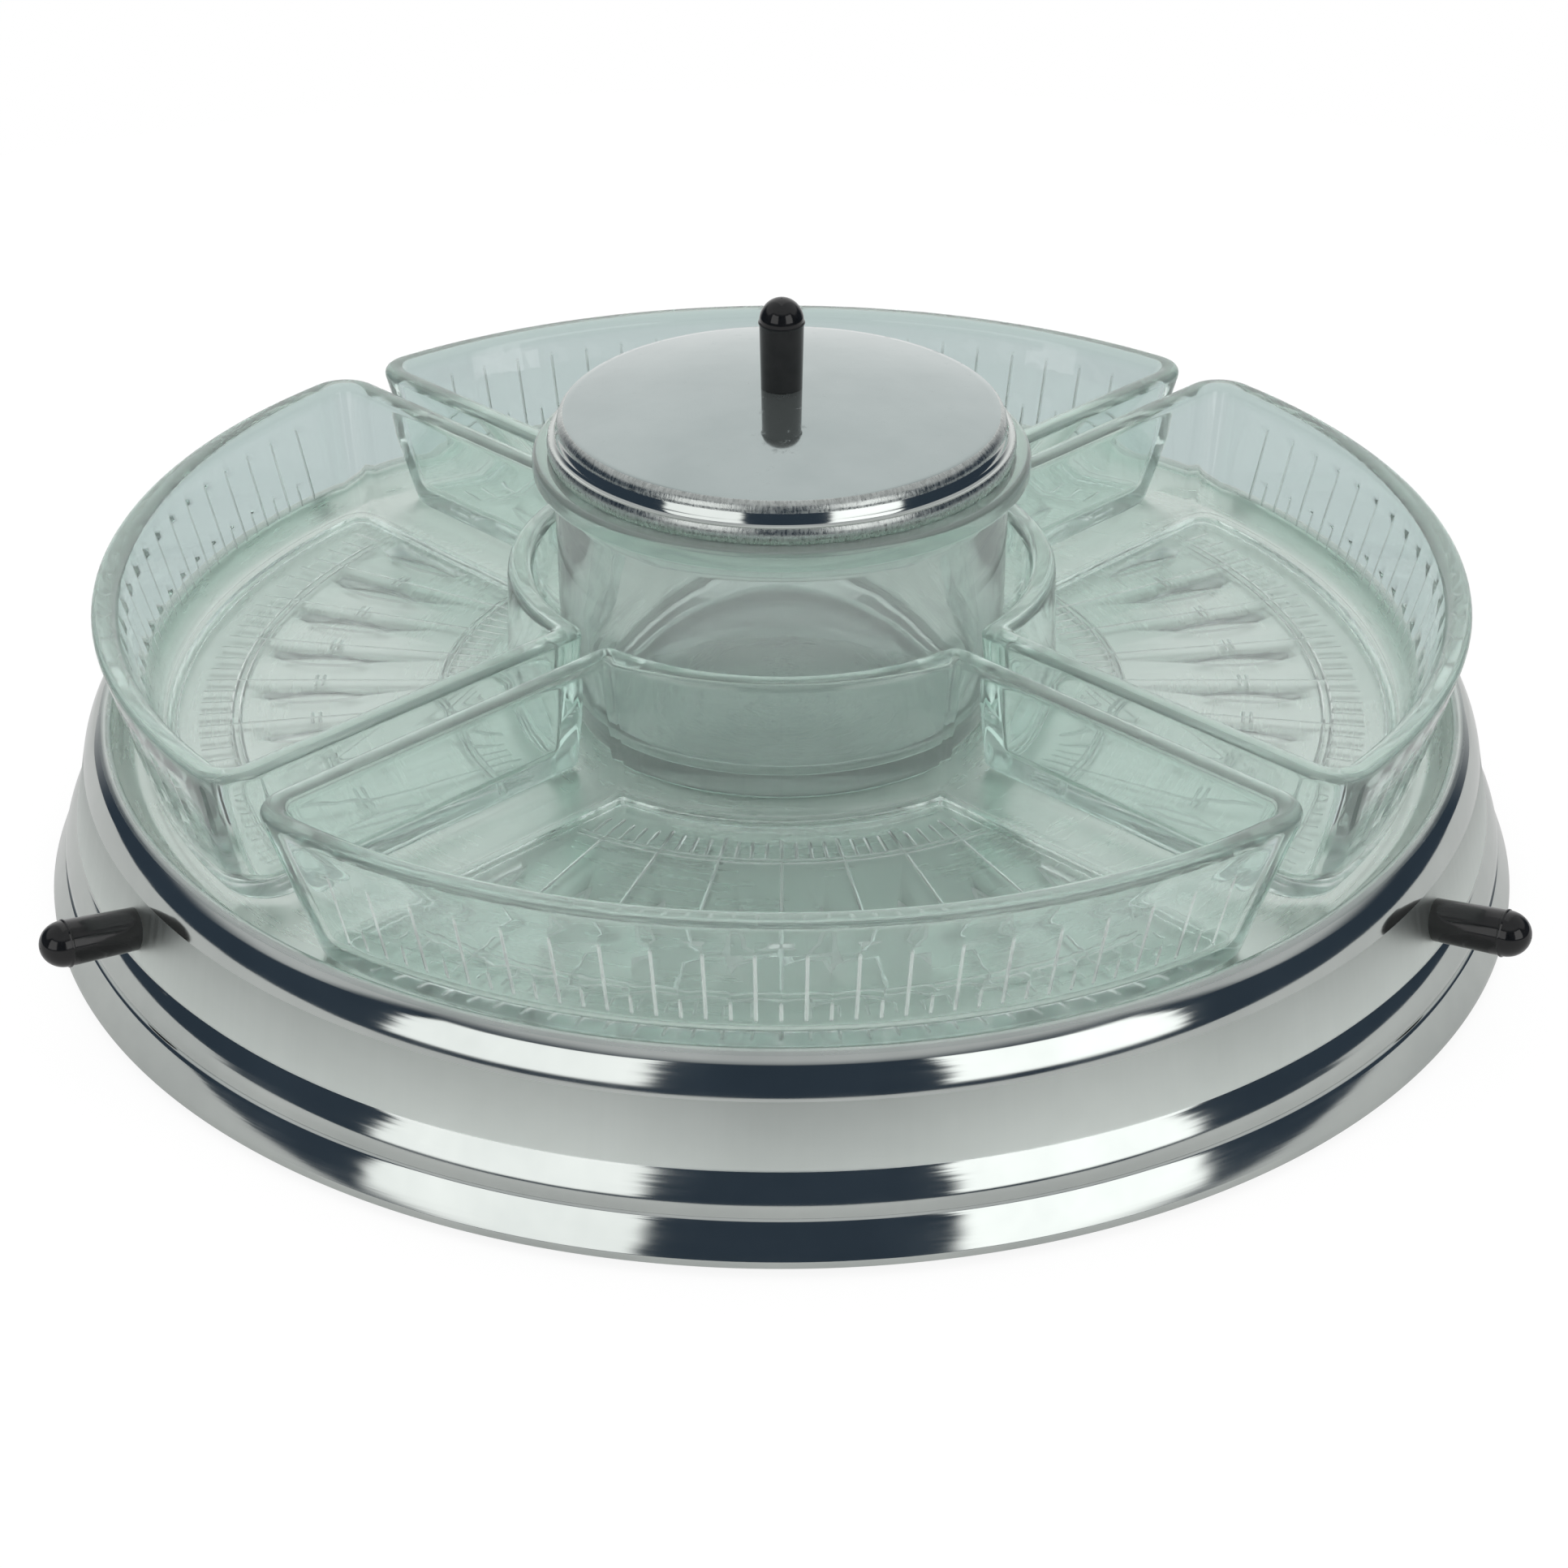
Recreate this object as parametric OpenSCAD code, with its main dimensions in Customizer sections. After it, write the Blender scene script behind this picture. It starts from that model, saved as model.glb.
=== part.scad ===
// Revolving hors d'oeuvre server: an aluminium turntable on a ball bearing carries four
// pressed glass dishes round a lidded glass jar. Millimetres, +Z up, the front is -Y.
// The origin is on the turning axis, in the plane of the table that the feet stand on.

/* [Tray] */
// Radius of the tray at the lower edge of its skirt
tray_r = 164.5; // [160:0.5:175]
// Gap between the table and the lower edge of the skirt
skirt_gap = 2.5; // [1.5:0.1:4]
// Height of the tray's floor above the lower edge of the skirt
floor_rise = 32; // [30:0.5:40]
// Height of the rim's crest above the floor
rim_rise = 7; // [5:0.5:9]
// Thickness of the spun aluminium sheet
tray_sheet = 1.2; // [0.8:0.1:1.5]
// Radial width of the lower roll
lower_roll_w = 3.6; // [3:0.1:5]
// Height of the lower roll
lower_roll_h = 8.6; // [7:0.1:9.5]
// Radial width of the upper roll
upper_roll_w = 3.2; // [2:0.1:4]
// Height of the upper roll
upper_roll_h = 8.5; // [7:0.1:9.5]
// How far the plain wall leans out between the rim bead and the upper roll
wall_lean = 2.9; // [1.5:0.1:4]
// Height of the rim bead's outer face
bead_h = 8.3; // [6:0.1:9]
// Radial width of the rim bead's outer face
bead_w = 5.2; // [4.4:0.1:6]
// Radial width of the cove between the crest and the flat floor
cove_w = 6.6; // [4:0.1:8]

/* [Peg handles] */
// Number of degrees that a handle leans up from level
handle_tilt = 6; // [0:1:12]
// Height of a handle's root above the lower edge of the skirt
handle_rise = 23.1; // [21.5:0.1:24.4]
// Length of a peg from its root to the tip of its dome
peg_len = 19.9; // [16:0.1:26]
// Radius of a peg at its root
peg_root_r = 4.45; // [4:0.05:5]
// Radius of the fine ridge below a peg's dome
peg_ridge_r = 5; // [4.6:0.05:6]
// Radius of a peg screw's shank
screw_r = 1.5; // [1.2:0.1:2]
// Length of a screw's shank inside a peg
screw_bite = 9; // [5:0.5:10]

/* [Glass dishes] */
// Gap between a dish's foot and the edge of the tray's flat floor
dish_seat_gap = 1.5; // [1.5:0.5:5]
// How far the outer wall of a dish leans out from foot to rim
outer_lean = 9; // [5:0.5:12]
// How far a side wall of a dish leans out from foot to rim
side_lean = 4.5; // [2:0.5:6]
// How far the inner curved wall of a dish leans from foot to rim
arc_lean = 1.5; // [0:0.5:3]
// Height of a dish
dish_h = 34.6; // [28:0.2:40]
// Thickness of a dish's walls
dish_wall = 5.6; // [4.2:0.1:6.5]
// Thickness of a dish's floor
dish_floor = 4; // [3:0.1:5]
// Gap between neighbouring dishes at the rim
dish_gap = 6; // [4:0.5:9]
// Radius of a dish's two outer corners
outer_corner_r = 9.5; // [7:0.5:14]
// Radius of a dish's two inner corners
inner_corner_r = 3.5; // [3:0.5:9]
// How far the front dish sits forward of its even place
front_slack = 1; // [0:0.25:1.5]
// How far the two side dishes sit back from their even places
side_slack = 0.75; // [0:0.25:0.75]

/* [Jar] */
// Radius of the jar's body
jar_r = 49.3; // [45:0.1:52]
// Height of the jar
jar_h = 60.8; // [50:0.2:75]
// Thickness of the jar's wall
jar_wall = 4; // [3:0.1:5]
// Thickness of the jar's floor
jar_floor = 4.5; // [3:0.1:6]
// How far the jar's rim stands out from its body
jar_rim_w = 4.5; // [3:0.1:5.5]
// Height of the jar's rim band
jar_rim_t = 4.6; // [3:0.1:6]
// Gap that lets a dish be lifted straight up past the jar's rim
jar_gap = 0.8; // [0.8:0.1:8]

/* [Lid] */
// How far the lid's rolled edge stays inside the jar's rim
lid_inset = 3.2; // [1.5:0.1:4]
// Height of the lid's rolled edge
lid_bead_h = 3.4; // [2.6:0.1:4]
// Height of the shoulder above the rolled edge
lid_shoulder_h = 4.9; // [4:0.1:6]
// Rise of the domed top above the shoulder
lid_dome = 5.1; // [3:0.1:9]
// Thickness of the lid's sheet
lid_sheet = 1; // [0.7:0.1:1.2]
// Depth of the lid's locating collar inside the jar
collar_depth = 3.5; // [2:0.5:8]

/* [Bearing] */
// Radius of the circle on which the balls run
ball_circle_r = 52; // [45:0.5:60]
// Radius of a ball
ball_r = 3; // [2.6:0.1:3.2]
// Number of balls
ball_count = 12; // [6:1:20]
// Thickness of each race ring
race_t = 3; // [2.6:0.1:3.2]
// Depth of the groove in each race ring
groove_depth = 1.2; // [1:0.1:1.4]
// Width of a race ring from its inner to its outer edge
race_w = 20; // [18:0.5:22]
// Thickness of the ball cage
cage_t = 1.6; // [1.2:0.1:2]
// Thickness of the hub plate under the tray
hub_t = 1.6; // [1:0.1:2]
// Radius of the pivot stud
stud_r = 4; // [3:0.1:5]

/* [Base] */
// Radius of the base plate
base_r = 108; // [100:1:120]
// Thickness of the base plate's sheet
base_sheet = 1.2; // [0.8:0.1:1.5]
// Height of a rubber foot below the base plate
foot_h = 4; // [3.5:0.1:5]
// Radius of a rubber foot
foot_r = 8; // [6:0.5:9]

/* [Clearances] */
// Gap between loose parts and what they stand on
rest_gap = 0.2; // [0.1:0.05:0.3]
// Radial play of turning parts
run_play = 0.06; // [0.03:0.01:0.1]
// Radial play round screws and in ball pockets
loose_play = 0.2; // [0.1:0.05:0.3]

/* [Hidden] */
$fn = 96;

// Heights above the table, from the tray's floor down through the bearing to the feet
floor_z = skirt_gap + floor_rise;
crest_z = floor_z + rim_rise;
hub_z = floor_z - tray_sheet - hub_t;
upper_race_z = hub_z - race_t;
race_gap = 2 * (ball_r + run_play - groove_depth);
lower_race_z = upper_race_z - race_gap - race_t;
ball_z = upper_race_z - race_gap / 2;
deck_z = lower_race_z;
bush_drop = 3;
bush_z = deck_z - base_sheet - bush_drop;

// Radii of the tray's outline from the skirt inward
upper_roll_r = tray_r - lower_roll_w;
wall_foot_r = upper_roll_r - upper_roll_w;
wall_top_r = wall_foot_r - wall_lean;
crest_r = wall_top_r - bead_w;
floor_r = crest_r - cove_w;
wall_foot_z = skirt_gap + lower_roll_h + upper_roll_h;
wall_top_z = crest_z - bead_h;

// The handles stand on the plain wall
handle_z = skirt_gap + handle_rise;
wall_slope = wall_lean / (wall_top_z - wall_foot_z);
handle_seat_r = wall_top_r + (wall_top_z - handle_z) * wall_slope;
HANDLE_TURNS = [212.5, 329, 90];

// Dishes: plan radii at the rim
dish_outer_r = floor_r - dish_seat_gap + outer_lean;
jar_rim_r = jar_r + jar_rim_w;
dish_inner_r = jar_rim_r + jar_gap;
dish_z = floor_z + rest_gap;
DISH_TURNS = [0, 90, 180, 270];
// How far back each dish stands from its even place, the front one first
DISH_SHIFTS = [-front_slack, side_slack, 0, side_slack];
foot_fillet = 2.5;
rim_round = 2;
floor_fillet = 3;

jar_z = floor_z + rest_gap;
jar_top_z = jar_z + jar_h;
mouth_r = jar_r - jar_wall;

lid_z = jar_top_z + rest_gap;
lid_r = jar_rim_r - lid_inset;
knob_z = lid_z + lid_bead_h + lid_shoulder_h + lid_dome;

// Flat washers stop short of the curved sheets that they bear on
seat_slack = 0.1;
washer_t = 0.8;
washer_r = 3.6;
knob_back = lid_sheet + seat_slack + washer_t;
head_r = 2.8;
head_h = 1.8;
rivet_r = 1.4;
rivet_head_r = 2.2;
rivet_head_h = 0.9;
race_in_r = ball_circle_r - race_w / 2;
race_rivet_r = race_in_r + 2.3;
race_out_r = ball_circle_r + race_w / 2;
hub_r = race_out_r + 5;
stud_flange_r = 10;
stud_flange_t = 2;
bush_r = stud_r + 3;
bush_flange_r = bush_r + 2.5;
bush_flange_t = 1.5;
nut_h = 6.5;
nut_r = stud_r * 1.88;
stud_washer_t = 1.5;
stud_washer_z = bush_z - rest_gap - stud_washer_t;
stud_washer_r = bush_r + 4;
foot_circle_r = base_r - 14;
foot_neck_r = 3;
foot_barb_r = 4.2;

// Points of a curve from p to q that bulges to the left of its run by rise, without p
function bow(p, q, rise, n) = [for (i = [1:n])
    let (t = i / n, d = q - p, side = [-d[1], d[0]] / norm(d))
    p + d * t + side * rise * 4 * t * (1 - t)];

// Unit vector along a path at its point i
function heading(path, i) =
    let (d = path[min(i + 1, len(path) - 1)] - path[max(i - 1, 0)]) d / norm(d);

// Closed outline of a sheet of thickness t that lies to the right of a path from the axis
function sheet_outline(path, t) = concat(path, [for (i = [len(path) - 1:-1:0])
    let (h = heading(path, i)) [max(path[i][0] + t * h[1], 0), path[i][1] - t * h[0]]]);

// Mean line of the tray's upper side, from the axis out over the rim and down the skirt
function tray_path() =
    let (crest_in = [crest_r - 1.5, crest_z - 0.8],
         crest = [crest_r, crest_z],
         shoulder = crest + [2.3, -1.3],
         flank = crest + [3.75, -4.3],
         groove = [upper_roll_r, skirt_gap + lower_roll_h],
         brow = [wall_foot_r + 1.8, wall_foot_z - 3.2],
         roll_end = groove + [-0.12, 1.9],
         lower_top = groove + [0.8, -0.7],
         lower_brow = groove + [1.85, -3],
         lip = [tray_r - 0.1, skirt_gap + 0.8])
    concat([[0, floor_z], [floor_r, floor_z]],
        bow([floor_r, floor_z], crest_in, -1, 6),
        bow(crest_in, crest, 0.15, 2),
        bow(crest, shoulder, 0.35, 4),
        bow(shoulder, flank, 0.09, 3),
        [[wall_top_r, wall_top_z], [wall_foot_r, wall_foot_z]],
        bow([wall_foot_r, wall_foot_z], brow, 0.13, 4),
        bow(brow, roll_end, 0.03, 2),
        [groove, lower_top],
        bow(lower_top, lower_brow, 0.08, 3),
        bow(lower_brow, lip, 0.03, 2),
        [[tray_r, skirt_gap]]);

module on_handle(i) {
    rotate([0, 0, HANDLE_TURNS[i]])
        translate([handle_seat_r, 0, handle_z])
            rotate([0, 90 - handle_tilt, 0]) children();
}

// Peg along +Z from its root at z = 0, drawn down by tail below the root
module peg(tail) {
    dome_z = peg_len - peg_ridge_r;
    neck_r = peg_ridge_r - 0.25;
    ridge_h = 0.7;
    rotate_extrude() polygon(concat(
        [[0, -tail], [peg_root_r, -tail], [peg_root_r, 0], [neck_r, dome_z - ridge_h]],
        [[peg_ridge_r, dome_z - ridge_h + 0.2], [peg_ridge_r, dome_z - 0.2]],
        [for (a = [0:6:90]) [neck_r * cos(a), dome_z + peg_ridge_r * sin(a)]]));
}

module peg_bore() {
    translate([0, 0, -3]) cylinder(h = 3 + screw_bite + 0.5, r = screw_r + run_play);
}

module washer(r, hole, t) {
    difference() {
        cylinder(h = t, r = r);
        translate([0, 0, -1]) cylinder(h = t + 2, r = hole);
    }
}

// Pan-head screw with the face of its head at z = 0 and its shank along +Z
module screw(reach) {
    translate([0, 0, -head_h]) cylinder(h = head_h, r1 = head_r - 0.5, r2 = head_r);
    translate([0, 0, -0.01]) cylinder(h = reach + 0.01, r = screw_r);
}

// Outline of a dish in plan, its axis along -Y, with each wall drawn in from the rim:
// out for the outer wall, side for the two sides, arc for the inner wall
function toward(a) = [sin(a), -cos(a)];
function dish_half(out, side, arc, big_r, small_r) =
    let (outer = dish_outer_r - out,
         inner = dish_inner_r + arc,
         edge = dish_gap / 2 + side,
         big_a = 45 - asin((edge + big_r) / (outer - big_r)),
         small_a = 45 - asin((edge + small_r) / (inner + small_r)),
         big_c = (outer - big_r) * toward(big_a),
         small_c = (inner + small_r) * toward(small_a))
    concat([for (i = [0:5]) outer * toward(big_a * i / 6)],
        [for (i = [0:6]) big_c + big_r * toward(big_a + (135 - big_a) * i / 6)],
        [for (i = [0:4]) small_c + small_r * toward(135 + (45 + small_a) * i / 4)],
        [for (i = [1:4]) inner * toward(small_a * (4 - i) / 4)]);
function dish_ring(z, inset) =
    let (lean = 1 - z / dish_h,
         half = dish_half(outer_lean * lean + inset, side_lean * lean + inset,
             arc_lean * lean + inset, max(outer_corner_r - inset, 3),
             max(inner_corner_r - inset / 2, 2)),
         last = len(half) - 1)
    concat([for (p = half) [p[0], p[1], z]],
        [for (i = [last - 1:-1:1]) [-half[i][0], half[i][1], z]]);

// Heights and insets of the rings that a dish is drawn through, outside up and inside down
DISH_RINGS = [[0, foot_fillet], [foot_fillet * 0.3, foot_fillet * 0.3], [foot_fillet, 0],
    [dish_h - rim_round, 0], [dish_h - rim_round * 0.3, rim_round * 0.3], [dish_h, rim_round],
    [dish_h, dish_wall - rim_round], [dish_h - rim_round * 0.3, dish_wall - rim_round * 0.3],
    [dish_h - rim_round, dish_wall], [dish_floor + floor_fillet, dish_wall],
    [dish_floor + floor_fillet * 0.3, dish_wall + floor_fillet * 0.3],
    [dish_floor, dish_wall + floor_fillet]];

module skin(rings) {
    n = len(rings[0]);
    top = (len(rings) - 1) * n;
    polyhedron(points = [for (ring = rings) each ring], convexity = 6, faces = concat(
        [[for (i = [0:n - 1]) i]],
        [for (k = [0:len(rings) - 2], i = [0:n - 1])
            [k * n + i, (k + 1) * n + i, (k + 1) * n + (i + 1) % n, k * n + (i + 1) % n]],
        [[for (i = [n - 1:-1:0]) top + i]]));
}

module dish(i) {
    color("#b9cfc7")
        translate([0, DISH_SHIFTS[i], dish_z]) rotate([0, 0, DISH_TURNS[i]])
            skin([for (level = DISH_RINGS) dish_ring(level[0], level[1])]);
}

module jar() {
    foot_r_out = jar_r - 3;
    under_rim = jar_h - jar_rim_t;
    outside = concat([[0, 0.8], [foot_r_out - 7, 0.8], [foot_r_out - 5, 0], [foot_r_out, 0]],
        bow([foot_r_out, 0], [jar_r - 0.6, 4], -0.6, 4),
        [[jar_r, under_rim - 5]],
        bow([jar_r, under_rim - 5], [jar_r + 1.2, under_rim], 0.5, 4),
        bow([jar_rim_r - 0.9, under_rim], [jar_rim_r, under_rim + 0.9], -0.25, 2),
        bow([jar_rim_r, jar_h - 1.2], [jar_rim_r - 1.2, jar_h], -0.35, 3));
    inside = concat([[mouth_r + 1.2, jar_h]],
        bow([mouth_r + 1.2, jar_h], [mouth_r, jar_h - 1.2], -0.35, 3),
        [[mouth_r - 0.4, jar_floor + 6]],
        bow([mouth_r - 0.4, jar_floor + 6], [mouth_r - 6.4, jar_floor], 1.6, 5),
        [[0, jar_floor]]);
    color("#b9cfc7")
        translate([0, 0, jar_z])
            rotate_extrude() polygon(concat(outside, inside));
}

module lid() {
    shoulder_z = lid_bead_h + lid_shoulder_h;
    brow = [lid_r - 3.6, shoulder_z];
    cheek = [lid_r - 2.4, shoulder_z - 1.7];
    waist = [lid_r - 1.6, lid_bead_h + 0.5];
    ledge = [lid_r - 0.4, lid_bead_h];
    peak = [0, shoulder_z + lid_dome];
    face = concat([peak], bow(peak, brow, lid_dome / 4, 12), bow(brow, cheek, 0.35, 4),
        bow(cheek, waist, 0.06, 2), bow(waist, ledge, -0.2, 2),
        bow(ledge, [lid_r - 0.4, 0], 0.4, 5));
    collar_r = mouth_r - 0.6;
    color("#c3c7c8")
        translate([0, 0, lid_z])
            difference() {
                union() {
                    rotate_extrude() polygon(sheet_outline(face, lid_sheet));
                    rotate_extrude() polygon([[collar_r - lid_sheet, -collar_depth],
                        [collar_r, -collar_depth], [collar_r, shoulder_z - 0.2],
                        [collar_r - lid_sheet, shoulder_z - 0.2]]);
                }
                translate([0, 0, peak[1] - 5]) cylinder(h = 10, r = screw_r + loose_play);
            }
}

module lid_knob() {
    color("#0d0f10")
        translate([0, 0, knob_z])
            difference() {
                peg(0);
                peg_bore();
            }
}

module knob_washer() {
    color("#9ea1a3")
        translate([0, 0, knob_z - knob_back])
            washer(washer_r, screw_r + loose_play, washer_t);
}

module knob_screw() {
    color("#9ea1a3")
        translate([0, 0, knob_z - knob_back])
            screw(knob_back + screw_bite);
}

module handle(i) {
    color("#0d0f10")
        difference() {
            on_handle(i) peg(2);
            translate([0, 0, wall_foot_z])
                cylinder(h = wall_top_z - wall_foot_z, r1 = wall_foot_r, r2 = wall_top_r);
            on_handle(i) peg_bore();
        }
}

// The wall and a handle's axis lean differently, so washers stand off by their difference
function washer_back() =
    tray_sheet + washer_t + washer_r * abs(wall_slope - tan(handle_tilt)) + seat_slack;

module handle_washers() {
    color("#9ea1a3")
        for (i = [0:2]) on_handle(i)
            translate([0, 0, -washer_back()])
                washer(washer_r, screw_r + loose_play, washer_t);
}

module handle_screws() {
    color("#9ea1a3")
        for (i = [0:2]) on_handle(i)
            translate([0, 0, -washer_back()]) screw(washer_back() + screw_bite);
}

module tray() {
    color("#c3c7c8")
        difference() {
            rotate_extrude() polygon(sheet_outline(tray_path(), tray_sheet));
            for (i = [0:2]) on_handle(i)
                translate([0, 0, -6]) cylinder(h = 12, r = screw_r + loose_play);
        }
}

module hub_plate() {
    color("#8f9496")
        translate([0, 0, hub_z])
            difference() {
                cylinder(h = hub_t, r = hub_r);
                race_rivet_places() translate([0, 0, -1]) cylinder(h = hub_t + 2, r = rivet_r);
            }
}

module race_rivet_places() {
    for (a = [0:60:300]) rotate([0, 0, a]) translate([race_rivet_r, 0, 0]) children();
}

// Race ring with its groove in the upper face
module race() {
    difference() {
        cylinder(h = race_t, r = race_out_r);
        translate([0, 0, -1]) cylinder(h = race_t + 2, r = race_in_r);
        rotate_extrude()
            translate([ball_circle_r, race_t + ball_r - groove_depth])
                circle(r = ball_r + run_play);
        race_rivet_places() translate([0, 0, -1]) cylinder(h = race_t + 2, r = rivet_r);
    }
}

module lower_race() {
    color("#a9acae") translate([0, 0, lower_race_z]) race();
}

module upper_race() {
    color("#a9acae") translate([0, 0, upper_race_z + race_t]) mirror([0, 0, 1]) race();
}

module lower_race_rivets() {
    color("#b7babb")
        race_rivet_places() {
            translate([0, 0, deck_z - base_sheet]) cylinder(h = base_sheet + race_t, r = rivet_r);
            translate([0, 0, lower_race_z + race_t])
                cylinder(h = rivet_head_h, r1 = rivet_head_r, r2 = rivet_r);
            translate([0, 0, deck_z - base_sheet - rivet_head_h])
                cylinder(h = rivet_head_h, r1 = rivet_r, r2 = rivet_head_r);
        }
}

module upper_race_rivets() {
    color("#b7babb")
        race_rivet_places() {
            translate([0, 0, upper_race_z]) cylinder(h = race_t + hub_t, r = rivet_r);
            translate([0, 0, upper_race_z - rivet_head_h])
                cylinder(h = rivet_head_h, r1 = rivet_r, r2 = rivet_head_r);
        }
}

module ball_places() {
    for (i = [0:ball_count - 1]) rotate([0, 0, 360 * i / ball_count])
        translate([ball_circle_r, 0, ball_z]) children();
}

module bearing_balls() {
    color("#d5d8da") ball_places() sphere(r = ball_r);
}

module ball_cage() {
    cage_half_w = ball_r + 2;
    color("#b08d4a")
        difference() {
            translate([0, 0, ball_z - cage_t / 2])
                cylinder(h = cage_t, r = ball_circle_r + cage_half_w);
            translate([0, 0, ball_z - cage_t])
                cylinder(h = 2 * cage_t, r = ball_circle_r - cage_half_w);
            ball_places() translate([0, 0, -cage_t])
                cylinder(h = 2 * cage_t, r = ball_r + loose_play);
        }
}

module pivot_stud() {
    color("#a9acae") {
        translate([0, 0, hub_z - stud_flange_t]) cylinder(h = stud_flange_t, r = stud_flange_r);
        translate([0, 0, stud_washer_z - nut_h - 1])
            cylinder(h = hub_z - stud_flange_t - stud_washer_z + nut_h + 1.1, r = stud_r);
    }
}

module stud_washer() {
    color("#a9acae")
        translate([0, 0, stud_washer_z])
            washer(stud_washer_r, stud_r + run_play, stud_washer_t);
}

module stud_nut() {
    color("#a9acae")
        translate([0, 0, stud_washer_z - nut_h])
            difference() {
                cylinder(h = nut_h, r = nut_r, $fn = 6);
                translate([0, 0, -1]) cylinder(h = nut_h + 2, r = stud_r + run_play);
            }
}

module pivot_bush() {
    color("#b08d4a")
        difference() {
            union() {
                translate([0, 0, bush_z]) cylinder(h = bush_drop + base_sheet, r = bush_r);
                translate([0, 0, deck_z]) cylinder(h = bush_flange_t, r = bush_flange_r);
            }
            translate([0, 0, bush_z - 1]) cylinder(h = 20, r = stud_r + run_play);
        }
}

// Base plate: a raised deck for the race, a sloping web and a flat flange for the feet
function base_path() =
    let (deck_r = race_out_r + 3,
         flange_z = foot_h + base_sheet,
         web_foot_r = foot_circle_r - foot_r - 4)
    concat([[0, deck_z], [deck_r, deck_z]],
        [[deck_r + 2, deck_z - 1], [web_foot_r - 2, flange_z + 1], [web_foot_r, flange_z]],
        [[base_r - 1.5, flange_z], [base_r, flange_z + 1], [base_r, flange_z + 3]]);

module foot_place(i) {
    rotate([0, 0, 45 + 90 * i]) translate([foot_circle_r, 0, 0]) children();
}

module base_plate() {
    color("#8f9496")
        difference() {
            rotate_extrude() polygon(sheet_outline(base_path(), base_sheet));
            translate([0, 0, deck_z - 5]) cylinder(h = 10, r = bush_r);
            for (i = [0:3]) foot_place(i) cylinder(h = foot_h + 5, r = foot_neck_r);
            race_rivet_places()
                translate([0, 0, deck_z - 5]) cylinder(h = 10, r = rivet_r);
        }
}

module foot(i) {
    color("#1b1c1d")
        foot_place(i) {
            cylinder(h = 1, r1 = foot_r - 0.8, r2 = foot_r);
            translate([0, 0, 1]) cylinder(h = foot_h - 1, r = foot_r);
            translate([0, 0, foot_h]) cylinder(h = base_sheet, r = foot_neck_r);
            translate([0, 0, foot_h + base_sheet])
                cylinder(h = 2.5, r1 = foot_barb_r, r2 = foot_neck_r - 1);
        }
}

base_plate();
pivot_bush();
lower_race();
lower_race_rivets();
foot(0);  // foot_1
foot(1);  // foot_2
foot(2);  // foot_3
foot(3);  // foot_4
ball_cage();
bearing_balls();
tray();
hub_plate();
upper_race();
upper_race_rivets();
pivot_stud();
stud_washer();
stud_nut();
handle(0);  // handle_1
handle(1);  // handle_2
handle(2);  // handle_3
handle_washers();
handle_screws();
dish(0);  // dish_1
dish(1);  // dish_2
dish(2);  // dish_3
dish(3);  // dish_4
jar();
lid();
lid_knob();
knob_washer();
knob_screw();
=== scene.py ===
"""Looks of a revolving hors d'oeuvre server: spun aluminium turntable with three peg handles,
four pressed glass dishes and a lidded glass jar, on a ball bearing that stays out of sight."""
import math
import bpy
from mathutils import Matrix, Vector
from mathutils.geometry import delaunay_2d_cdt


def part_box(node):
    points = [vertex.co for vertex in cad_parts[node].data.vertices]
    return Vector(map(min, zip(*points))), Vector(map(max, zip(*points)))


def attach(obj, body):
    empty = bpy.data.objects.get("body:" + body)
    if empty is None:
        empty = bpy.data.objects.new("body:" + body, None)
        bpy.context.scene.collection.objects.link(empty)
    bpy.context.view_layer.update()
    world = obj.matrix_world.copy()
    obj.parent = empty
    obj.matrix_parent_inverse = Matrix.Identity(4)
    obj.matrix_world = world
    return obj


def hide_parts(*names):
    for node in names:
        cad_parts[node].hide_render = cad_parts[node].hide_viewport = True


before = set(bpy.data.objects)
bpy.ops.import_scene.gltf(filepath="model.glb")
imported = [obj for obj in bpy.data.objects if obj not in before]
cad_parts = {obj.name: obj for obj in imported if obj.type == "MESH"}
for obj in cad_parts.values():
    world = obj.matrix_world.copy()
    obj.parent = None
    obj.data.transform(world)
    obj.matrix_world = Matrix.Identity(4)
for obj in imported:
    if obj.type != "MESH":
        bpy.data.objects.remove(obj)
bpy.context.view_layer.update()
scene = bpy.context.scene
MM = 0.001

# ------------------------------------------------------------------ sizes, in millimetres
ROUND_STEPS = 360
TRAY_SHEET = 1.2
LOWER_ROLL = (3.6, 8.6)
UPPER_ROLL = (3.2, 8.5)
WALL_LEAN = 2.9
RIM_BEAD = (5.2, 8.3)
RIM_RISE = 7
COVE_W = 6.6
# Points of the tray's section, as distances outward and up from the point named in make_tray
CREST_IN = (-1.5, -0.8)
CROWN = (0.7, -0.25)
SHOULDER = (2.6, -2.2)
BROW = (2.3, -4)
ROLL_END = (-0.06, -6.3)
GROOVE_IN = 0.2
LOWER_TOP = (0.55, -0.45)
LIP = (-0.03, 0.9)
CREST_BAND = (-1.6, 1.2)

PEG_ROOT_R = 4.45
PEG_RIDGE_R = 5
PEG_LEN = 19.9
PEG_ROOT_DEPTH = 1.2
PEG_STEPS = 96
HANDLE_RISE = 23.1
HANDLE_TILT = math.radians(6)
HANDLE_TURNS = {"handle_1": 212.5, "handle_2": 329, "handle_3": 90}

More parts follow.
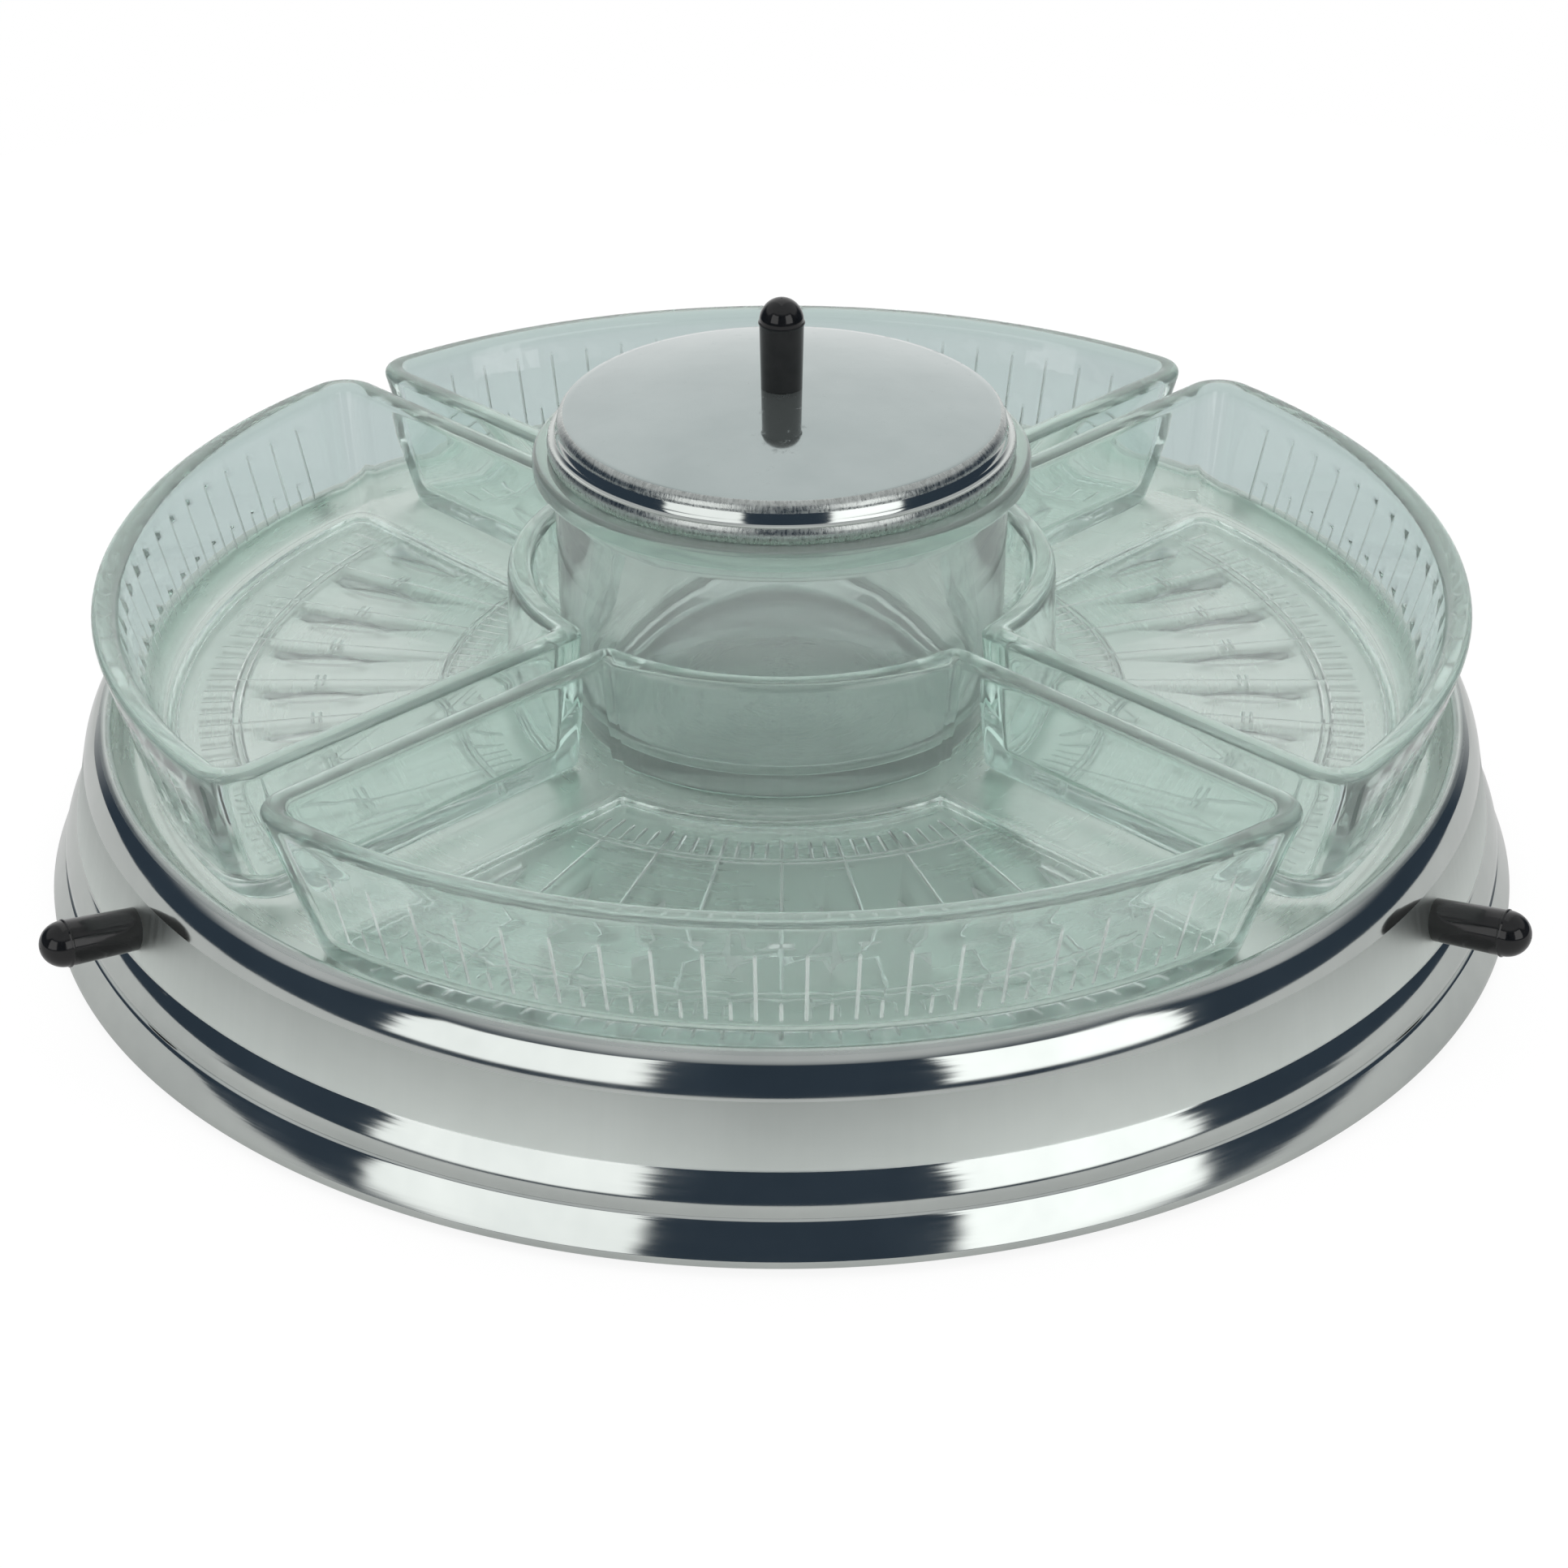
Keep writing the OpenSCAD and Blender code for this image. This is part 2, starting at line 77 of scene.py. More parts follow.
DISH_TURNS = {"dish_1": 0, "dish_2": 90, "dish_3": 180, "dish_4": 270}
DISH_GAP = 6
DISH_WALL = 5.6
DISH_FLOOR = 4
OUTER_LEAN = 9
SIDE_LEAN = 4.5
ARC_LEAN = 1.5
FOOT_FILLET = 2.5
RIM_ROUND = 2
FLOOR_FILLET = 3
OUTER_CORNER_R = 9.5
INNER_CORNER_R = 3.5
JAR_GAP = 0.8
NOTCH_PITCH = 1.85
NOTCH_COUNT = 19
NOTCH_HALF = 0.42
NOTCH_DEPTH = 0.35
NOTCH_FOOT = 10
LONG_TOP = 27.5
SHORT_TOP = 15

JAR_WALL = 4
JAR_FLOOR = 4.5
JAR_RIM = (4.5, 4.6)
JAR_FOOT_IN = 3
JAR_STEPS = 240
LID_BEAD_H = 3.4
LID_SHOULDER_H = 4.9
LID_DOME = 5.1
LID_SHEET = 1
COLLAR_DEPTH = 3.5
COLLAR_GAP = 0.6


def mm_box(node):
    """Lowest and highest corner of a CAD node at rest, in millimetres."""
    low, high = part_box(node)
    return Vector(low) / MM, Vector(high) / MM


# ------------------------------------------------------------------ outlines and meshes
def bow(p, q, rise, n):
    """Points of a curve from p to q that bulges to the left of its run by rise, without p."""
    p, q = Vector(p), Vector(q)
    run = q - p
    side = Vector((-run.y, run.x)).normalized()
    return [p + run * t + side * rise * 4 * t * (1 - t) for t in (i / n for i in range(1, n + 1))]


def sheet_outline(path, thickness):
    """Closed outline of a sheet that lies to the right of a path from the axis."""
    back = []
    for i, point in enumerate(path):
        heading = (path[min(i + 1, len(path) - 1)] - path[max(i - 1, 0)]).normalized()
        back.append(Vector((max(point.x + thickness * heading.y, 0), point.y - thickness * heading.x)))
    return path + back[::-1]


def new_piece(name, points, faces, materials, slots=None):
    """Object with a smooth mesh, sharp where its faces meet at a clear angle."""
    mesh = bpy.data.meshes.new(name)
    mesh.from_pydata([Vector(p) * MM for p in points], [], faces)
    mesh.validate()
    for material in materials:
        mesh.materials.append(material)
    if slots:
        for polygon, index in zip(mesh.polygons, slots):
            polygon.material_index = index
    mesh.shade_smooth()
    mesh.set_sharp_from_angle(angle=math.radians(32))
    piece = bpy.data.objects.new(name, mesh)
    scene.collection.objects.link(piece)
    return piece


def lathe(name, outline, materials, steps=ROUND_STEPS, finish=None):
    """Closed outline of (radius, height) points turned round the Z axis.
    finish(low, high) gives the material index of the band between two outline points."""
    turns = zip(outline, outline[1:] + outline[:1])
    if sum(a[0] * b[1] - a[1] * b[0] for a, b in turns) > 0:
        outline = outline[::-1]
    points, rings = [], []
    for r, z in outline:
        if r < 1e-4:
            rings.append([len(points)] * steps)
            points.append((0, 0, z))
            continue
        rings.append(list(range(len(points), len(points) + steps)))
        for k in range(steps):
            a = 2 * math.pi * k / steps
            points.append((r * math.cos(a), r * math.sin(a), z))
    faces, slots = [], []
    for i, ring in enumerate(rings):
        above = rings[(i + 1) % len(rings)]
        if ring[0] == ring[1] and above[0] == above[1]:
            continue
        for k in range(steps):
            n = (k + 1) % steps
            corners = list(dict.fromkeys((ring[k], above[k], above[n], ring[n])))
            faces.append(corners)
            slots.append(finish(outline[i], outline[(i + 1) % len(outline)]) if finish else 0)
    return new_piece(name, points, faces, materials, slots)


# ------------------------------------------------------------------ materials
GLASS_TINT = (0.935, 0.983, 0.967)
GLASS_DEPTH_COLOR = (0.3, 0.86, 0.68, 1)
GLASS_DENSITY = 3.0
RIM_FROST = 0.14
RIM_CLEAR = 0.9
RIM_TINT = (0.815, 0.918, 0.872)
FOOT_BAND = (1.1, 7.5)
FOOT_FROST = 0.14
CUT_FROST = 0.4
CUT_FROM = (0.74, 0.8)
CUT_TO = (1, 1.06)
NOTCH_FROST = 0.45
DISH_RIM_BAND = (31, 34)
JAR_RIM_BAND = (6, 4.5)
DISH_CLEAR = 0.96
JAR_CLEAR = 0.8


class Finish:
    """A Principled material and short ways to add procedural detail to it."""

    def __init__(self, name, color, **sockets):
        self.material = bpy.data.materials.new(name)
        self.material.use_nodes = True
        self.tree = self.material.node_tree
        self.shader = self.tree.nodes["Principled BSDF"]
        self.output = self.tree.nodes["Material Output"]
        self.shader.inputs["Base Color"].default_value = (*color, 1)
        for socket, value in sockets.items():
            self.shader.inputs[socket.replace("_", " ")].default_value = value

    def node(self, kind, **settings):
        node = self.tree.nodes.new(kind)
        for key, value in settings.items():
            if key in node.inputs:
                node.inputs[key].default_value = value
            else:
                setattr(node, key, value)
        return node

    def math(self, operation, a, b=0.0):
        node = self.node("ShaderNodeMath", operation=operation)
        for socket, value in zip(node.inputs, (a, b)):
            if isinstance(value, (int, float)):
                socket.default_value = value
            else:
                self.tree.links.new(value, socket)
        return node.outputs[0]

    def place(self):
        """Separate object coordinates x, y, z in metres."""
        coordinates = self.node("ShaderNodeTexCoord")
        split = self.node("ShaderNodeSeparateXYZ")
        self.tree.links.new(coordinates.outputs["Object"], split.inputs[0])
        return split.outputs

    def noise(self, scale, detail=3.0, roughness=0.6, vector=None, w=None):
        node = self.node("ShaderNodeTexNoise", Scale=scale, Detail=detail, Roughness=roughness)
        if vector is None:
            coordinates = self.node("ShaderNodeTexCoord")
            vector = coordinates.outputs["Object"]
        self.tree.links.new(vector, node.inputs["Vector"])
        if w is not None:
            node.noise_dimensions = "4D"
            self.tree.links.new(w, node.inputs["W"])
        return node.outputs["Fac"]

    def radius(self, x, y):
        """Distance from the Z axis."""
        return self.math("SQRT", self.math("ADD", self.math("MULTIPLY", x, x),
                                           self.math("MULTIPLY", y, y)))

    def turned(self, round_scale, radial_scale, height_scale, detail=3.0):
        """Noise drawn out round the Z axis, as a spinning tool leaves it."""
        x, y, z = self.place()[:3]
        radius = self.radius(x, y)
        safe = self.math("MAXIMUM", radius, 1e-5)
        combine = self.node("ShaderNodeCombineXYZ")
        for side, socket in zip((x, y), combine.inputs):
            around = self.math("MULTIPLY", self.math("DIVIDE", side, safe), round_scale)
            self.tree.links.new(around, socket)
        self.tree.links.new(self.math("MULTIPLY", radius, radial_scale), combine.inputs[2])
        height = self.math("MULTIPLY", z, height_scale)
        return self.noise(1.0, detail, vector=combine.outputs[0], w=height)

    def spread(self, value, low, high, start=0.3, end=0.7):
        """Value between start and end, mapped to low and high."""
        node = self.node("ShaderNodeMapRange")
        self.tree.links.new(value, node.inputs["Value"])
        for socket, number in zip(list(node.inputs)[1:5], (start, end, low, high)):
            socket.default_value = number
        return node.outputs[0]

    def color_between(self, value, dark, light, start=0.3, end=0.7):
        ramp = self.node("ShaderNodeValToRGB")
        ramp.color_ramp.elements[0].position = start
        ramp.color_ramp.elements[0].color = (*dark, 1)
        ramp.color_ramp.elements[1].position = end
        ramp.color_ramp.elements[1].color = (*light, 1)
        self.tree.links.new(value, ramp.inputs[0])
        return ramp.outputs[0]

    def to(self, socket, value):
        self.tree.links.new(value, self.shader.inputs[socket])

    def notch_mask(self):
        """1 on the V cuts of a dish's outer wall, 0 elsewhere."""
        x, y, z = self.place()[:3]
        angle = self.math("ARCTAN2", x, self.math("MULTIPLY", y, -1.0))
        turn = self.math("DIVIDE", angle, math.radians(NOTCH_PITCH))
        index = self.math("ROUND", turn)
        count = self.math("ABSOLUTE", index)
        off_centre = self.math("ABSOLUTE", self.math("SUBTRACT", turn, index))
        is_long = self.math("MODULO", count, 2.0)
        top = self.math("ADD", self.math("MULTIPLY", is_long, (LONG_TOP - SHORT_TOP) * MM), SHORT_TOP * MM)
        under_top = self.math("SUBTRACT", top, z)
        face = self.math("SUBTRACT", self.radius(x, y), self.math("MULTIPLY", z, OUTER_LEAN / DISH_H))
        mask = self.spread(off_centre, 1.0, 0.0, 0.05, 0.1)
        for value, low, high, start, end in (
                (under_top, 0.0, 1.0, 0.0, 0.002),
                (z, 0.0, 1.0, (NOTCH_FOOT - 1) * MM, (NOTCH_FOOT - 0.5) * MM),
                (face, 0.0, 1.0, (DISH_FOOT_R - 1.2) * MM, (DISH_FOOT_R - 0.8) * MM),
                (count, 1.0, 0.0, NOTCH_COUNT + 0.4, NOTCH_COUNT + 0.6)):
            mask = self.math("MULTIPLY", mask, self.spread(value, low, high, start, end))
        return mask

    def bump(self, height, distance, strength=1.0):
        """distance is the height of the bumps in metres."""
        node = self.node("ShaderNodeBump", Strength=strength, Distance=distance)
        self.tree.links.new(height, node.inputs["Height"])
        self.to("Normal", node.outputs[0])


def aluminium(name, dark, light, roughness, brush=0.00001, streaks=False, specks=False,
              shade=None, metallic=1.0, worn=False):
    """Spun aluminium with turning marks. shade is (low, high, share): painted shade, the colour darkening
    towards the top of that band down to share, standing in for the shade under the rim bead.
    """
    finish = Finish(name, light, Metallic=metallic)
    rings = finish.turned(5, 900, 900, 2.0)
    patches = finish.noise(28, 4)
    if worn:
        patches = finish.turned(90, 700, 700, 4.0)
    color = finish.color_between(patches, dark, light, 0.25, 0.65)
    grain = finish.math("ADD", finish.math("MULTIPLY", rings, 0.4), finish.math("MULTIPLY", patches, 0.6))
    if streaks:
        runs = finish.turned(150, 60, 25, 3.0)
        grain = finish.math("ADD", finish.math("MULTIPLY", grain, 0.5), finish.math("MULTIPLY", runs, 0.5))
    rough = finish.spread(grain, roughness[0], roughness[1], 0.35, 0.65)
    if specks:
        spots = finish.spread(finish.noise(420, 5, 0.75), 0.0, 0.22, 0.56, 0.68)
        rough = finish.math("ADD", rough, spots)
    # Painted shade: the base colour darkens towards the top of the band, standing in for the shade under
    # the rim bead.
    if shade:
        low, high, share = shade
        level = finish.spread(finish.place()[2], 1.0, share, low * MM, high * MM)
        scale = finish.node("ShaderNodeVectorMath", operation="SCALE")
        finish.tree.links.new(color, scale.inputs[0])
        finish.tree.links.new(level, scale.inputs["Scale"])
        color = scale.outputs[0]
    finish.to("Base Color", color)
    finish.to("Roughness", rough)
    rippled = worn or specks
    finish.bump(patches if rippled else rings, brush, 1.0 if rippled else 0.4)
    return finish.material


def glass(name, rim_low, rim_high, clear, engraved=False):
    """Old pressed glass, pale green in its depth, its rim between two heights a little frosted."""
    finish = Finish(name, GLASS_TINT, Roughness=0.0, IOR=1.5, Transmission_Weight=1.0)
    height = finish.place()[2]
    rim = finish.spread(height, 0.0, RIM_FROST, rim_low * MM, rim_high * MM)
    edge = finish.spread(height, 0.0, 1.0, rim_low * MM, rim_high * MM)
    finish.to("Base Color", finish.color_between(edge, GLASS_TINT, RIM_TINT, 0.0, 1.0))
    clearness = finish.spread(edge, clear, RIM_CLEAR, 0.0, 1.0)
    if engraved:
        cuts = finish.math("MULTIPLY",
                           finish.spread(height, 0.0, CUT_FROST, CUT_FROM[0] * MM, CUT_FROM[1] * MM),
                           finish.spread(height, 1.0, 0.0, CUT_TO[0] * MM, CUT_TO[1] * MM))
        clearness = finish.math("SUBTRACT", clearness, cuts)
        notches = finish.notch_mask()
        clearness = finish.math("SUBTRACT", clearness, finish.math("MULTIPLY", notches, NOTCH_FROST))
    finish.to("Transmission Weight", clearness)
    wear = finish.spread(finish.noise(160, 3), 0.0, 0.03, 0.45, 0.75)
    rough = finish.math("ADD", rim, wear)
    if engraved:
        low, high = FOOT_BAND[0] * MM, FOOT_BAND[1] * MM
        foot = finish.math("MULTIPLY", finish.spread(height, 0.0, 1.0, low, low + 0.0004),
                           finish.spread(height, FOOT_FROST, 0.0, high - 0.002, high))
        rough = finish.math("ADD", rough, foot)
    finish.to("Roughness", rough)
    finish.bump(finish.noise(70, 2, 0.4), 0.00018, 0.4)
    absorb = finish.node("ShaderNodeVolumeAbsorption", Color=GLASS_DEPTH_COLOR, Density=GLASS_DENSITY)
    finish.tree.links.new(absorb.outputs[0], finish.output.inputs["Volume"])
    return finish.material


def black_plastic():
    dark, light = (0.004, 0.0045, 0.005), (0.011, 0.011, 0.012)
    finish = Finish("peg_black", (0.006, 0.0065, 0.007), Roughness=0.12, IOR=1.45,
                    Specular_IOR_Level=0.45)
    finish.to("Base Color", finish.color_between(finish.noise(300, 4), dark, light))
    finish.to("Roughness", finish.spread(finish.noise(220, 5), 0.06, 0.14))
    finish.bump(finish.noise(900, 2), 0.00002, 0.25)
    return finish.material


def plated(name, dark, light, low, high, metallic=1.0, scale=90):
    finish = Finish(name, light, Metallic=metallic)
    finish.to("Base Color", finish.color_between(finish.noise(scale, 4), dark, light))
    finish.to("Roughness", finish.spread(finish.noise(scale * 3, 3), low, high))
    finish.bump(finish.noise(scale * 9, 2), 0.00002, 0.3)
    return finish.material


tray_low, tray_high = mm_box("tray")
# Painted shade on the satin wall: its colour darkens towards the top, under the overhanging rim bead.
WALL_PAINTED_SHADE = (tray_low.z + LOWER_ROLL[1] + UPPER_ROLL[1], tray_high.z - RIM_BEAD[1], 0.74)
POLISHED = aluminium("aluminium_polished", (0.46, 0.49, 0.475), (0.56, 0.59, 0.57), (0.05, 0.12))
SATIN = aluminium("aluminium_satin", (0.68, 0.73, 0.695), (0.76, 0.81, 0.775), (0.34, 0.46),
                  brush=0.00002, streaks=True, shade=WALL_PAINTED_SHADE)
TRAY_TOP = aluminium("aluminium_tray_top", (0.69, 0.73, 0.7), (0.78, 0.82, 0.79), (0.22, 0.36),
                     metallic=0.9)
LID_TOP = aluminium("aluminium_lid_top", (0.33, 0.38, 0.375), (0.39, 0.44, 0.435), (0.04, 0.1),
                    specks=True, metallic=0.88)
LID_EDGE = aluminium("aluminium_lid_edge", (0.30, 0.32, 0.31), (0.58, 0.61, 0.59), (0.14, 0.42),
                     brush=0.00006, specks=True, worn=True)
# Aluminium of the lid's underside and collar, with painted light: it is lighter than the other metal to
# lift the shade under the lid and inside the jar.
LID_INSIDE_PAINTED_LIGHT = aluminium("aluminium_lid_inside_painted_light", (0.8, 0.83, 0.82), (0.87, 0.9, 0.89), (0.3, 0.45))
CREST = aluminium("aluminium_crest", (0.42, 0.46, 0.44), (0.54, 0.58, 0.56), (0.2, 0.34),
                  metallic=0.95)
dish_low, dish_high = mm_box("dish_2")
DISH_FOOT_R = dish_high.x - OUTER_LEAN
DISH_H = dish_high.z - dish_low.z
DISH_GLASS = glass("glass_dish", *DISH_RIM_BAND, DISH_CLEAR, engraved=True)
jar_top = mm_box("jar")[1].z
JAR_GLASS = glass("glass_jar", jar_top - JAR_RIM_BAND[0], jar_top - JAR_RIM_BAND[1], JAR_CLEAR)
BLACK = black_plastic()
RUBBER = plated("rubber_black", (0.012, 0.012, 0.013), (0.03, 0.03, 0.031), 0.6, 0.85, 0.0)
ZINC = plated("steel_zinc", (0.42, 0.43, 0.44), (0.6, 0.61, 0.62), 0.25, 0.45)
RACE = plated("steel_race", (0.4, 0.41, 0.42), (0.56, 0.57, 0.58), 0.14, 0.28)
BALL = plated("steel_ball", (0.6, 0.61, 0.62), (0.72, 0.73, 0.74), 0.04, 0.09)
BRASS = plated("brass", (0.5, 0.34, 0.12), (0.68, 0.5, 0.22), 0.22, 0.4)
RIVET = plated("aluminium_rivet", (0.52, 0.53, 0.54), (0.66, 0.67, 0.68), 0.25, 0.4)

CAD_FINISH = {"base_plate": ZINC, "pivot_bush": BRASS, "lower_race": RACE, "upper_race": RACE,
              "lower_race_rivets": RIVET, "upper_race_rivets": RIVET, "ball_cage": BRASS,
              "bearing_balls": BALL, "hub_plate": ZINC, "pivot_stud": ZINC, "stud_washer": ZINC,
              "stud_nut": ZINC, "handle_washers": ZINC, "handle_screws": ZINC,
              "knob_washer": ZINC, "knob_screw": ZINC,
              "foot_1": RUBBER, "foot_2": RUBBER, "foot_3": RUBBER, "foot_4": RUBBER}


def finish_cad_nodes():
    for node, material in CAD_FINISH.items():
        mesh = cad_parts[node].data
        mesh.materials.clear()
        mesh.materials.append(material)


# ------------------------------------------------------------------ tray
def make_tray():
    """Tray from one section, turned round. Gives back the foot and top of its plain wall."""
    low, high = mm_box("tray")
    lip_r, lip_z, crest_z = high.x, low.z, high.z
    floor_z = crest_z - RIM_RISE
    roll_r = lip_r - LOWER_ROLL[0]
    wall_foot = Vector((roll_r - UPPER_ROLL[0], lip_z + LOWER_ROLL[1] + UPPER_ROLL[1]))
    wall_top = Vector((wall_foot.x - WALL_LEAN, crest_z - RIM_BEAD[1]))
    crest = Vector((wall_top.x - RIM_BEAD[0], crest_z))
    crest_in = crest + Vector(CREST_IN)
    crown = crest + Vector(CROWN)
    shoulder = crest + Vector(SHOULDER)
    floor_edge = Vector((crest.x - COVE_W, floor_z))
    groove = Vector((roll_r - GROOVE_IN, lip_z + LOWER_ROLL[1]))
    brow = wall_foot + Vector(BROW)
    roll_end = wall_foot + Vector((UPPER_ROLL[0] + ROLL_END[0], ROLL_END[1]))
    lower_top = groove + Vector(LOWER_TOP)
    lip = Vector((lip_r + LIP[0], lip_z + LIP[1]))
    path = [Vector((0, floor_z)), Vector((floor_edge.x * 0.5, floor_z)), floor_edge]
    path += bow(floor_edge, crest_in, -1, 10)
    path += bow(crest_in, crest, 0.15, 4)
    path += bow(crest, crown, 0.03, 4) + bow(crown, shoulder, 0.06, 7)
    path += bow(shoulder, wall_top, 0.28, 12)
    path += [wall_top.lerp(wall_foot, t) for t in (0.03, 0.5, 0.97, 1)]
    path += bow(wall_foot, brow, 0.16, 9) + bow(brow, roll_end, 0.06, 6)
    path += [roll_end.lerp(groove, 0.5), groove] + bow(groove, lower_top, 0.05, 4)
    path += bow(lower_top, lip, 0.08, 12) + [Vector((lip_r, lip_z))]

    finishes = [POLISHED, SATIN, TRAY_TOP, CREST]

    def band(a, b):
        middle = (a + b) / 2
        if middle.x < crest.x + CREST_BAND[0]:
            return finishes.index(TRAY_TOP)
        if middle.x < crest.x + CREST_BAND[1] and middle.y > shoulder.y:
            return finishes.index(CREST)
        on_wall = wall_foot.y < middle.y < wall_top.y
        return finishes.index(SATIN if on_wall else POLISHED)

    tray = lathe("turntable_tray", sheet_outline(path, TRAY_SHEET), finishes, finish=band)
    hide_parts("tray")
    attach(tray, "turntable")
    return wall_foot, wall_top


# ------------------------------------------------------------------ pegs
def peg_outline(tail):
    """Outline of a peg along its axis, with a root that runs back by tail."""
    dome_z = PEG_LEN - PEG_RIDGE_R
    neck_r = PEG_RIDGE_R - 0.25
    ridge_z = dome_z - 0.7
    outline = [Vector((0, -tail)), Vector((PEG_ROOT_R - 0.3, -tail)), Vector((PEG_ROOT_R, -tail + 0.3))]
    outline += [Vector((PEG_ROOT_R, 0)), Vector((PEG_ROOT_R, 0)).lerp(Vector((neck_r, ridge_z)), 0.5)]
    outline += [Vector((neck_r, ridge_z)), Vector((PEG_RIDGE_R - 0.05, ridge_z + 0.15))]
    outline += [Vector((PEG_RIDGE_R, ridge_z + 0.25)), Vector((PEG_RIDGE_R - 0.03, dome_z - 0.25))]
    dome = (Vector((neck_r * math.cos(a), dome_z + PEG_RIDGE_R * math.sin(a)))
            for a in (math.radians(4 * i) for i in range(23)))
    return outline + list(dome)


def make_pegs(wall_foot, wall_top):
    knob_low = mm_box("lid_knob")[0]
    knob = lathe("lid_knob_peg", peg_outline(0), [BLACK], PEG_STEPS)
    knob.location = (0, 0, knob_low.z * MM)
    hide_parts("lid_knob")
    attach(knob, "lid")
    root_z = mm_box("tray")[0].z + HANDLE_RISE
    share = (wall_top.y - root_z) / (wall_top.y - wall_foot.y)
    root_r = wall_top.x + (wall_foot.x - wall_top.x) * share
    for name, turn in HANDLE_TURNS.items():
        handle = lathe(name + "_peg", peg_outline(PEG_ROOT_DEPTH), [BLACK], PEG_STEPS)
        handle.matrix_world = (Matrix.Rotation(math.radians(turn), 4, "Z")
                               @ Matrix.Translation(Vector((root_r, 0, root_z)) * MM)
                               @ Matrix.Rotation(math.radians(90) - HANDLE_TILT, 4, "Y"))
        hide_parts(name)
        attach(handle, "turntable")


# ------------------------------------------------------------------ jar and lid
def make_jar():
    """Jar with a ring foot and a rim band. Gives back the radius of its mouth."""
    low, high = mm_box("jar")
    rim_r = high.x
    body_r = rim_r - JAR_RIM[0]
    mouth_r = body_r - JAR_WALL
    height = high.z - low.z
    under_rim = height - JAR_RIM[1]
    foot_r = body_r - JAR_FOOT_IN
    outline = [Vector((0, 0.8)), Vector((foot_r - 7, 0.8)), Vector((foot_r - 6.2, 0.55)),
               Vector((foot_r - 5.2, 0.05)), Vector((foot_r - 4.6, 0)), Vector((foot_r - 0.4, 0))]
    outline += bow((foot_r, 0.1), (body_r - 0.6, 4), -0.6, 10)
    outline += [Vector((body_r - 0.25, 8)), Vector((body_r, under_rim - 5))]
    outline += bow((body_r, under_rim - 5), (body_r + 1.2, under_rim), 0.5, 8)
    outline += bow((rim_r - 0.9, under_rim), (rim_r, under_rim + 0.9), -0.25, 5)
    outline += [Vector((rim_r, height - 1.2))]
    outline += bow((rim_r, height - 1.2), (rim_r - 1.2, height), -0.35, 6)
    outline += [Vector((mouth_r + 1.2, height))]
    outline += bow((mouth_r + 1.2, height), (mouth_r, height - 1.2), -0.35, 6)
    outline += [Vector((mouth_r - 0.2, height * 0.5)), Vector((mouth_r - 0.4, JAR_FLOOR + 6))]
    outline += bow((mouth_r - 0.4, JAR_FLOOR + 6), (mouth_r - 6.4, JAR_FLOOR), 1.6, 12)
    outline += [Vector((0, JAR_FLOOR))]
    jar = lathe("glass_jar", [p + Vector((0, low.z)) for p in outline], [JAR_GLASS], JAR_STEPS)
    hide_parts("jar")
    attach(jar, "jar")
    return mouth_r


def make_lid(mouth_r):
    """Domed lid, and the collar inside it that drops into the jar's mouth."""
    low, high = mm_box("lid")
    base_z = low.z + COLLAR_DEPTH
    lid_r = high.x
    brow = Vector((lid_r - 3.6, LID_BEAD_H + LID_SHOULDER_H))
    cheek = Vector((lid_r - 2.2, brow.y - 2.3))
    waist = Vector((lid_r - 1.6, LID_BEAD_H + 0.5))
    ledge = Vector((lid_r - 0.4, LID_BEAD_H))
    peak = Vector((0, brow.y + LID_DOME))
    face = [peak] + bow(peak, brow, LID_DOME / 4, 30) + bow(brow, cheek, 0.35, 8)
    face += bow(cheek, waist, 0.06, 4) + bow(waist, ledge, -0.2, 5)
    face += bow(ledge, (lid_r - 0.4, 0), 0.4, 9)

    outline = [p + Vector((0, base_z)) for p in sheet_outline(face, LID_SHEET)]
    outside = {tuple(p) for p in outline[:len(face)]}
    finishes = [LID_TOP, POLISHED, LID_EDGE, LID_INSIDE_PAINTED_LIGHT]
    near = 0.01

    def band(a, b):
        if tuple(a) not in outside or tuple(b) not in outside:
            return finishes.index(LID_INSIDE_PAINTED_LIGHT)
        if max(a.x, b.x) <= brow.x + near:
            return finishes.index(LID_TOP)
        on_shoulder = min(a.y, b.y) >= cheek.y + base_z - near
        on_bead = max(a.y, b.y) <= ledge.y + base_z + near
        return finishes.index(LID_EDGE if on_shoulder or on_bead else POLISHED)

    lid = lathe("jar_lid", outline, finishes, JAR_STEPS, band)
    collar_r = mouth_r - COLLAR_GAP
    collar_top = brow.y - 0.4
    collar = [(collar_r - LID_SHEET, -COLLAR_DEPTH), (collar_r - 0.2, -COLLAR_DEPTH),
              (collar_r, 0.2 - COLLAR_DEPTH), (collar_r, collar_top), (collar_r - LID_SHEET, collar_top)]
    ring = lathe("jar_lid_collar", [Vector(p) + Vector((0, base_z)) for p in collar], [LID_INSIDE_PAINTED_LIGHT],
                 JAR_STEPS)
    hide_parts("lid")
    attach(lid, "lid")
    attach(ring, "lid")


# ------------------------------------------------------------------ dishes
def toward(degrees):
    """Unit vector in plan, 0 degrees along -Y and rising toward +X."""
    a = math.radians(degrees)
    return Vector((math.sin(a), -math.cos(a)))


def notch(index, z):
    """Depth share of a cut in the outer wall at a height above the foot, 0 outside it."""
    top = LONG_TOP if index % 2 else SHORT_TOP
    if z >= top or z < NOTCH_FOOT - 0.9:
        return 0
    if z < NOTCH_FOOT:
        return (z - NOTCH_FOOT + 0.9) / 0.9
    return ((top - z) / (top - NOTCH_FOOT)) ** 0.5


